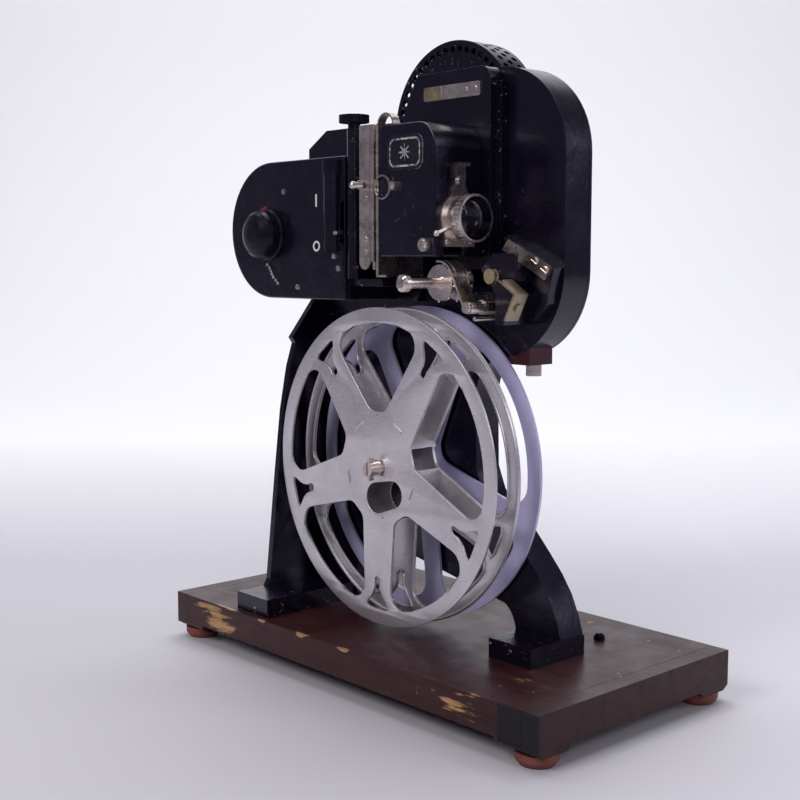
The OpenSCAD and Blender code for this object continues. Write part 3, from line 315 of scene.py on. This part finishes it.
def sheet_metal(name, bright, dull, metallic, rough):
    """Pressed sheet with faint rings round the reel's axis."""
    m = Nodes(name)
    shift = m.add("ShaderNodeMapping")
    shift.inputs["Location"].default_value = (-REEL_X * MM, 0.0, -REEL_Z * MM)
    m.link(m.place, shift.inputs["Vector"])
    split = m.add("ShaderNodeSeparateXYZ")
    m.link(shift.outputs["Vector"], split.inputs["Vector"])
    square = m.math("ADD", m.math("POWER", split.outputs["X"], 2.0), m.math("POWER", split.outputs["Z"], 2.0))
    radius = m.math("SQRT", square)
    rings = m.add("ShaderNodeTexNoise", noise_dimensions="1D")
    rings.inputs["Scale"].default_value = 900
    rings.inputs["Detail"].default_value = 5
    m.link(radius, rings.inputs["W"])
    cloud = m.noise(26, 6, 0.6)
    scuffs = m.noise(200, 5, 0.7, m.stretch((1, 1, 6), (0.2, 0.5, 0.1)))
    tone = m.math("ADD", m.math("MULTIPLY", cloud, 0.6), m.math("MULTIPLY", scuffs, 0.4))
    m.colour(m.ramp(tone, (0.36, dull), (0.62, bright)))
    m.roughness(m.ramp(m.math("ADD", m.math("MULTIPLY", rings.outputs["Fac"], 0.5),
                              m.math("MULTIPLY", scuffs, 0.5)), (0.35, rough[0]), (0.65, rough[1])))
    m.bump(m.math("ADD", rings.outputs["Fac"], scuffs), 0.10, 0.0001)
    m.set(Metallic=metallic)
    return m.material


def rubber():
    m = Nodes("foot_rubber")
    m.colour(m.ramp(m.noise(90, 6), (0.3, (0.13, 0.035, 0.026)), (0.7, (0.25, 0.075, 0.055))))
    m.roughness(m.ramp(m.noise(220), (0.3, 0.55), (0.7, 0.8)))
    m.bump(m.noise(1200, 3), 0.3, 0.0002)
    return m.material


def bakelite():
    m = Nodes("black_plastic")
    # Painted violet sheen: the faint violet in these near-black colours and the lavender specular tint.
    m.colour(m.ramp(m.noise(140, 6), (0.3, (0.003, 0.002, 0.005)), (0.7, (0.009, 0.007, 0.012))))
    m.roughness(m.ramp(m.noise(90, 4), (0.3, 0.22), (0.7, 0.36)))
    m.bump(m.noise(800, 2), 0.08, 0.0001)
    m.set(IOR=1.32, Specular_Tint=(0.8, 0.76, 1, 1))
    return m.material


def clear_glass(name, tint):
    m = Nodes(name)
    m.colour(m.ramp(m.noise(60, 3), (0.3, tint), (0.7, tuple(min(1, c * 1.03) for c in tint))))
    m.roughness(m.ramp(m.noise(300, 4), (0.4, 0.01), (0.7, 0.07)))
    m.set(Transmission_Weight=1.0, IOR=1.52)
    return m.material


def plain_paint(name, dark, light, rough=0.5):
    m = Nodes(name)
    m.colour(m.ramp(m.noise(200, 5), (0.3, dark), (0.7, light)))
    m.roughness(m.ramp(m.noise(300), (0.3, rough - 0.1), (0.7, rough + 0.1)))
    m.bump(m.noise(900, 2), 0.15, 0.0001)
    return m.material


def leather():
    m = Nodes("belt_leather")
    m.colour(m.ramp(m.noise(150, 6), (0.3, (0.05, 0.028, 0.018)), (0.7, (0.13, 0.075, 0.045))))
    m.roughness(m.ramp(m.noise(260), (0.3, 0.5), (0.7, 0.7)))
    m.bump(m.noise(1500, 4), 0.4, 0.0002)
    return m.material


# Where the badge's front face lies along Y, and how deep its lines must be to look sunk, in metres.
BADGE_FRONT = -0.0488
BADGE_SUNK = 0.00015


def badge_paint():
    """Black enamel on the badge's raised faces and worn pale metal in its sunk lines."""
    m = Nodes("badge_enamel")
    split = m.add("ShaderNodeSeparateXYZ")
    m.link(m.place, split.inputs["Vector"])
    sunk = m.math("GREATER_THAN", split.outputs["Y"], BADGE_FRONT + BADGE_SUNK)
    worn = m.ramp(m.noise(500, 5), (0.40, (0.10, 0.09, 0.12)), (0.58, (0.55, 0.53, 0.56)))
    # The blue in this black is painted violet sheen over black enamel.
    black = m.ramp(m.noise(60, 4), (0.3, (0.004, 0.004, 0.008)), (0.7, (0.009, 0.008, 0.014)))
    m.colour(m.mix(sunk, black, worn))
    m.roughness(m.ramp(m.noise(90, 4), (0.3, 0.25), (0.7, 0.4)))
    m.bump(m.noise(700, 3), 0.15, 0.0001)
    return m.material


def make_materials():
    """Every material, by the name of its record slot or of its own finish."""
    brown, light_brown = (0.018, 0.0045, 0.0055), (0.048, 0.0125, 0.0125)
    return {
        # The violet in the black enamel's two colours is painted violet sheen over black paint.
        "black_paint": enamel("black_enamel", (0.0022, 0.0013, 0.0058), (0.0062, 0.0040, 0.0150),
                              650, 0.55, (0.15, 0.30)),
        "board_wood": wood("board_wood", brown, light_brown),
        "batten_wood": wood("batten_wood", (0.012, 0.0042, 0.0040), light_brown, math.radians(90)),
        "nickel": plated("nickel", (0.76, 0.68, 0.63), (0.52, 0.45, 0.42), (0.22, 0.34), 0.3),
        "steel": plated("steel", (0.52, 0.50, 0.52), (0.34, 0.32, 0.34), (0.28, 0.45)),
        "screw_steel": plated("screw_steel", (0.72, 0.69, 0.70), (0.50, 0.47, 0.48),
                              (0.30, 0.42), 0.3),
        "gear_brass": plated("gear_brass", (0.50, 0.42, 0.26), (0.30, 0.24, 0.14), (0.30, 0.50)),
        "reel_aluminium": sheet_metal("reel_aluminium", (0.74, 0.71, 0.74), (0.56, 0.53, 0.56),
                                      0.75, (0.26, 0.42)),
        "disc_aluminium": sheet_metal("disc_lacquer", (0.66, 0.64, 0.88), (0.54, 0.52, 0.76),
                                      0.35, (0.32, 0.5)),
        "foot_rubber": rubber(),
        "black_plastic": bakelite(),
        "bulb_glass": clear_glass("bulb_glass", (0.92, 0.94, 0.95)),
        "lens_glass": clear_glass("lens_glass", (0.50, 0.46, 0.78)),
        "reflector_mirror": plated("reflector_mirror", (0.9, 0.9, 0.92), (0.7, 0.7, 0.74),
                                   (0.04, 0.12)),
        "socket_ceramic": plain_paint("socket_ceramic", (0.62, 0.58, 0.50), (0.74, 0.70, 0.62), 0.45),
        "mark_paint": plain_paint("mark_paint", (0.68, 0.68, 0.66), (0.85, 0.85, 0.82)),
        "bar_paint": enamel("bar_paint", (0.035, 0.006, 0.008), (0.070, 0.012, 0.016),
                            700, 0.2, (0.3, 0.5)),
        "belt_leather": leather(),
        "badge_enamel": badge_paint(),
        "old_brass": plated("old_brass", (0.40, 0.34, 0.25), (0.26, 0.22, 0.16), (0.34, 0.50)),
        "red_mark": plain_paint("red_mark", (0.16, 0.010, 0.012), (0.34, 0.020, 0.022)),
    }


# CAD nodes whose look differs from the rest of their material slot.
OWN_FINISH = {"badge_plate": "badge_enamel", "guide_block": "old_brass"}


def finish_nodes(materials):
    """Gives every carried-over CAD node the material of its record slot."""
    for entry in frame["record"]["subparts"]:
        node = NODES[entry["node"]]
        node.data.materials.clear()
        node.data.materials.append(materials[OWN_FINISH.get(entry["node"], entry["material_slot"])])


# ---------- pieces ----------

def body_named(node):
    for name, nodes in frame["record"]["behaviour"]["bodies"].items():
        if node in nodes:
            return name


def slot_named(node):
    for entry in frame["record"]["subparts"]:
        if entry["node"] == node:
            return entry["material_slot"]


# Shorter edges than this aren't rounded, and neither are corners flatter than this many degrees.
SHORTEST_ROUNDED = 1.6 * MM
SHARP_CORNER = 28

# Neighbouring faces within this many degrees of each other are one flat face.
FLAT_WITHIN = 0.6

# CAD nodes with rounded edges and the width of their rounding, in millimetres.
ROUNDED = {
    "stand": 1.8, "gear_case": 1.5, "case_cover": 0.6, "front_housing": 2.0, "head_housing": 2.0,
    "lamp_house": 0.5, "lamp_house_cover": 1.0, "guide_bracket": 0.9, "case_bar": 0.8, "base_board": 1.6,
    "end_battens": 1.4,
}


def softened(node, materials, width):
    """Stands for a CAD node: the same shape with its longer edges rounded over, as on a casting."""
    source = NODES[node]
    shape = bmesh.new()
    shape.from_mesh(source.data)
    shape.transform(source.matrix_world)
    bmesh.ops.remove_doubles(shape, verts=shape.verts, dist=SAME_POINT)
    bmesh.ops.dissolve_limit(shape, angle_limit=math.radians(FLAT_WITHIN), verts=shape.verts,
                             edges=shape.edges)
    weight = shape.edges.layers.float.new("bevel_weight_edge")
    for edge in shape.edges:
        sharp = len(edge.link_faces) == 2 and edge.calc_face_angle(0) > math.radians(SHARP_CORNER)
        if sharp and edge.calc_length() > SHORTEST_ROUNDED:
            edge[weight] = 1.0
    mesh = bpy.data.meshes.new(node + "_finish")
    shape.to_mesh(mesh)
    shape.free()
    piece = bpy.data.objects.new(node + "_finish", mesh)
    bpy.context.collection.objects.link(piece)
    round_over = piece.modifiers.new("round_over", "BEVEL")
    round_over.width = width * MM
    round_over.segments = 3
    round_over.limit_method = "WEIGHT"
    round_over.use_clamp_overlap = True
    even = piece.modifiers.new("even_faces", "WEIGHTED_NORMAL")
    even.keep_sharp = True
    smooth_by_angle(piece, SHARP_CORNER)
    mesh.materials.append(materials[slot_named(node)])
    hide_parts(node)
    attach(piece, body_named(node))


# ---------- reel flanges ----------

# The bearings of the arms in degrees, and the radius where the windows end under the rim.
ARMS = [57.8, 127.2, 197.2, 268.2, 336.0]
RIM_INSIDE = 80.5

# Each flange's front face along Y, and the side on which its beads stand (1 is the back).
FLANGE_Y = [(-41.0, 1), (-23.0, -1)]
FLANGE_THICK, FLANGE_EDGE = 0.9, 0.3
BEAD_RADIUS = 0.75

# Radius and half width along a fork's hole, from the rim inwards.
FORK = [(80.6, 6.4), (79.6, 9.2), (77.0, 7.8), (73.5, 4.6), (70.5, 2.9), (67.5, 2.2), (65.0, 2.4),
        (63.2, 2.1), (62.2, 1.0)]


def polar(radius, degrees):
    a = math.radians(degrees)
    return Vector((radius * math.cos(a), radius * math.sin(a)))


def arc(radius, start, end, steps):
    return [polar(radius, start + (end - start) * i / steps) for i in range(steps + 1)]


def filleted(corners, steps=8):
    """Closed outline through (point, radius) corners, each rounded by its radius."""
    outline = []
    count = len(corners)
    for i, (corner, radius) in enumerate(corners):
        if radius == 0:
            outline.append(corner)
            continue
        before = (corners[i - 1][0] - corner).normalized()
        after = (corners[(i + 1) % count][0] - corner).normalized()
        half = before.angle(after) / 2
        middle = corner + (before + after).normalized() * (radius / math.sin(half))
        reach = radius / math.tan(half)
        first, last = corner + before * reach, corner + after * reach
        a0 = math.atan2(first.y - middle.y, first.x - middle.x)
        a1 = math.atan2(last.y - middle.y, last.x - middle.x)
        turn = (a1 - a0 + math.pi) % (2 * math.pi) - math.pi
        for k in range(steps + 1):
            a = a0 + turn * k / steps
            outline.append(middle + radius * Vector((math.cos(a), math.sin(a))))
    return outline


def arm_window(start, end, tip):
    """Large window between two arms: an arc at the rim, with wide round corners, and a narrower inner end."""
    middle = (start + end) / 2
    rim = arc(RIM_INSIDE, start + 15, end - 15, 14)
    corners = [(polar(RIM_INSIDE + 0.6, start + 7.2), 9.5)] + [(p, 0) for p in rim]
    corners += [(polar(RIM_INSIDE + 0.6, end - 7.2), 9.5)]
    corners += [(polar(tip, middle + 11), 7.0), (polar(tip, middle - 11), 7.0)]
    return filleted(corners)


def fork_window(arm):
    """Vase-shaped hole where an arm forks to meet the rim."""
    left = [Vector((r, w)) for r, w in FORK]
    right = [Vector((r, -w)) for r, w in reversed(FORK)]
    a = math.radians(arm)
    return [Vector((p.x * math.cos(a) - p.y * math.sin(a), p.x * math.sin(a) + p.y * math.cos(a)))
            for p in left + right]


def finger_hole():
    """Oblong hole between two circles, as in the CAD flange."""
    (ax, az, ar), (bx, bz, br) = (-2.5, -17.3, 8.7), (10.8, -13.7, 7.5)
    outline = []
    lean = math.degrees(math.atan2(bz - az, bx - ax))
    for cx, cz, r, first in ((bx, bz, br, lean - 90), (ax, az, ar, lean + 90)):
        outline += [Vector((cx, cz)) + polar(r, first + 180 * i / 10) for i in range(11)]
    return outline


def square_hole(half):
    return [Vector((half, half)), Vector((-half, half)), Vector((-half, -half)), Vector((half, -half))]


def flange_holes():
    holes = []
    for i, start in enumerate(ARMS):
        end = ARMS[(i + 1) % 5] + (360 if i == 4 else 0)
        holes.append(arm_window(start, end, 27.5 if i == 4 else 32.0))
    holes += [fork_window(a) for a in ARMS]
    return holes


def flat_curve(name, outlines, thick, edge):
    """Plate of the given outlines, with its edges rounded, lying in X and Z."""
    data = bpy.data.curves.new(name, "CURVE")
    data.dimensions = "2D"
    data.fill_mode = "BOTH"
    data.extrude = (thick / 2 - edge) * MM
    data.bevel_depth = edge * MM
    data.bevel_resolution = 2
    data.offset = -edge * MM
    for outline in outlines:
        spline = data.splines.new("POLY")
        spline.points.add(len(outline) - 1)
        for point, place in zip(spline.points, outline):
            point.co = (place.x * MM, place.y * MM, 0, 1)
        spline.use_cyclic_u = True
    return data


def bead_curve(name, outline, radius):
    """Round wire along a closed line of points."""
    data = bpy.data.curves.new(name, "CURVE")
    data.dimensions = "3D"
    data.bevel_depth = radius * MM
    data.bevel_resolution = 3
    spline = data.splines.new("POLY")
    spline.points.add(len(outline) - 1)
    for point, place in zip(spline.points, outline):
        point.co = (place[0] * MM, place[1] * MM, place[2] * MM, 1)
    spline.use_cyclic_u = True
    return data


def as_mesh(name, parts):
    """One mesh object from (curve data, matrix) parts."""
    shape = bmesh.new()
    for data, matrix in parts:
        holder = bpy.data.objects.new(name + "_part", data)
        bpy.context.collection.objects.link(holder)
        bpy.context.view_layer.update()
        mesh = holder.to_mesh()
        mesh.transform(matrix)
        shape.from_mesh(mesh)
        holder.to_mesh_clear()
        bpy.data.objects.remove(holder)
    bmesh.ops.remove_doubles(shape, verts=shape.verts, dist=SAME_POINT)
    mesh = bpy.data.meshes.new(name)
    shape.to_mesh(mesh)
    shape.free()
    piece = bpy.data.objects.new(name, mesh)
    bpy.context.collection.objects.link(piece)
    return piece


def smooth_by_angle(piece, degrees=35):
    for face in piece.data.polygons:
        face.use_smooth = True
    piece.data.set_sharp_from_angle(angle=math.radians(degrees))


def pulled_in(outline, inset):
    """The outline moved into the metal round its hole."""
    count = len(outline)
    area = sum(outline[i].x * outline[(i + 1) % count].y - outline[(i + 1) % count].x * outline[i].y
               for i in range(count))
    way = 1 if area > 0 else -1
    moved = []
    for i in range(count):
        along = outline[(i + 1) % count] - outline[i - 1]
        if along.length < 1e-9:
            along = outline[(i + 1) % count] - outline[i]
        along.normalize()
        moved.append(outline[i] + Vector((along.y, -along.x)) * inset * way)
    return moved


def pressed_flanges(materials):
    """Both reel flanges, pressed from sheet with a rolled bead round each window and round the rim."""
    upright = Matrix(((1, 0, 0, 0), (0, 0, -1, 0), (0, 1, 0, 0), (0, 0, 0, 1)))
    holes = flange_holes()
    plain = [finger_hole(), square_hole(4.05)]
    rim = arc(REEL_R, 0, 357, 119)
    parts = []
    beads = [pulled_in(h, BEAD_RADIUS) for h in holes]
    beads.append([p * ((REEL_R - 0.95) / REEL_R) for p in rim])
    for y, inward in FLANGE_Y:
        middle = y + 0.5
        place = Matrix.Translation(Vector((REEL_X, middle, REEL_Z)) * MM) @ upright
        parts.append((flat_curve("flange", [rim] + holes + plain, FLANGE_THICK, FLANGE_EDGE), place))
        bead_y = middle + inward * BEAD_RADIUS
        for outline in beads:
            points = [(REEL_X + p.x, bead_y, REEL_Z + p.y) for p in outline]
            parts.append((bead_curve("bead", points, BEAD_RADIUS), Matrix.Identity(4)))
    piece = as_mesh("reel_flanges_pressed", parts)
    smooth_by_angle(piece)
    piece.data.materials.append(materials["reel_aluminium"])
    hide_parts("reel_flanges")
    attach(piece, "take_up")


# ---------- small parts that the CAD leaves plain ----------

def lathe(name, profile, place, direction, steps=56):
    """Turned piece: (radius, distance) profile in millimetres round an axis through place."""
    axis = Vector(direction).normalized()
    side = axis.orthogonal().normalized()
    other = axis.cross(side)
    verts, faces = [], []
    for k in range(steps):
        a = 2 * math.pi * k / steps
        out = side * math.cos(a) + other * math.sin(a)
        verts += [(Vector(place) + out * r + axis * t) * MM for r, t in profile]
    count = len(profile)
    for k in range(steps):
        for i in range(count - 1):
            a, b = k * count + i, (k + 1) % steps * count + i
            faces.append((a, a + 1, b + 1, b))
    mesh = bpy.data.meshes.new(name)
    mesh.from_pydata(verts, [], faces)
    mesh.update()
    piece = bpy.data.objects.new(name, mesh)
    bpy.context.collection.objects.link(piece)
    return piece


def finished(piece, material, body, degrees=35):
    smooth_by_angle(piece, degrees)
    piece.data.materials.append(material)
    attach(piece, body)


# A point on the lens axis, in millimetres.
LENS_AT = (0.0, -31.5, 257.5)


def lens_blacking(materials):
    """Black lining inside the lens mount, so that only its rim shines: (radius, distance) corners."""
    profile = [(9.25, 61.7), (9.25, 62.7), (11.15, 62.72), (11.15, 66.2), (11.0, 66.2), (11.0, 62.9),
               (9.1, 62.9), (9.1, 61.7)]
    finished(lathe("lens_blacking", profile, LENS_AT, (1, 0, 0)), materials["black_paint"],
             "lens_unit", 25)


def lamp_chain(materials):
    """Short chain of round links that hangs below the lamp cap."""
    links, points, radius, wire = 7, 10, 0.75, 0.28
    y = -51.0
    parts = []
    for i in range(links):
        x, z = -87.5 + i * 1.6 + 0.6 * math.sin(i * 1.3), 233.6 - i * 1.8
        ring = [(x + radius * math.cos(t), y - 0.25 * math.sin(t * 2), z + radius * math.sin(t))
                for t in (2 * math.pi * k / points for k in range(points))]
        parts.append((bead_curve("link", ring, wire), Matrix.Identity(4)))
    finished(as_mesh("lamp_chain", parts), materials["screw_steel"], "frame")


def flat_piece(name, corners, y0, y1):
    """Plate between two Y values with the outline of (x, z) corners, in millimetres."""
    count = len(corners)
    verts = [(x * MM, y * MM, z * MM) for y in (y0, y1) for x, z in corners]
    faces = [tuple(range(count)), tuple(reversed(range(count, 2 * count)))]
    faces += [((i + 1) % count, i, i + count, (i + 1) % count + count) for i in range(count)]
    mesh = bpy.data.meshes.new(name)
    mesh.from_pydata(verts, [], faces)
    mesh.update()
    piece = bpy.data.objects.new(name, mesh)
    bpy.context.collection.objects.link(piece)
    return piece


def brass_end(materials):
    """Brass tip at the left end of the flat spring."""
    left, right, low, high, radius = 10.3, 22.3, 323.1, 328.4, 0.6
    corners = []
    for x, z, first in ((right, high, 0), (left, high, 90), (left, low, 180), (right, low, 270)):
        turns = [math.radians(first + 30 * k) for k in range(4)]
        corners += [(x + radius * math.cos(a), z + radius * math.sin(a)) for a in turns]
    finished(flat_piece("brass_end", corners, -15.45, -14.9), materials["gear_brass"], "frame")


# The lamp knob's axis in X and Z, in millimetres.
KNOB_X, KNOB_Z = -86.5, 251.0


def red_mark(materials):
    """Red mark painted in an arc on the cover beside the lamp knob."""
    inside, outside = 15.6, 17.0
    sweep = [math.radians(96 + 4 * k) for k in range(9)]
    corners = [(KNOB_X + inside * math.cos(a), KNOB_Z + inside * math.sin(a)) for a in sweep]
    corners += [(KNOB_X + outside * math.cos(a), KNOB_Z + outside * math.sin(a)) for a in reversed(sweep)]
    finished(flat_piece("red_mark", corners, -50.12, -49.9), materials["red_mark"], "frame")


add_camera()
add_lights()
add_floor()
MATERIALS = make_materials()
finish_nodes(MATERIALS)
for node_name, edge_width in ROUNDED.items():
    softened(node_name, MATERIALS, edge_width)
pressed_flanges(MATERIALS)
lens_blacking(MATERIALS)
lamp_chain(MATERIALS)
brass_end(MATERIALS)
red_mark(MATERIALS)
